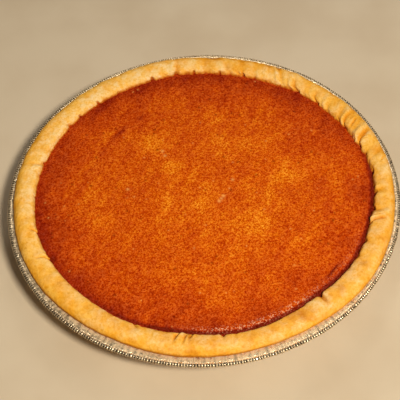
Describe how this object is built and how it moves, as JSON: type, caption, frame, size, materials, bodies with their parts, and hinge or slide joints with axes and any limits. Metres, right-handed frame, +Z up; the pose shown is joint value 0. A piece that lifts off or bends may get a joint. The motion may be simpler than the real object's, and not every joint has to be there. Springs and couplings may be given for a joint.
{
  "type": "sweet potato pie in a foil pan",
  "caption": "Whole baked open pie in its pressed foil pan: a hand-pressed pastry rim lies on the pan's flange round a level, slightly domed orange filling.",
  "frame": {"origin": "middle of the pan's flat underside, where the pie rests on a table", "axes": "+Z up out of the pan; -Y is the front of the pie; +X to its right"},
  "size_m": [0.2462, 0.2462, 0.036],
  "materials": {
    "foil": "thin bright pressed foil, crinkled at its rolled rim",
    "pastry": "baked pale golden shortcrust, matte, a little deeper gold on its crest and outer edge",
    "filling": "baked orange custard with a fine even grain, darker red-brown at its edge"
  },
  "bodies": {
    "root": {"foil_pan": "foil", "pastry_shell": "pastry", "filling": "filling"}
  },
  "joints": []
}
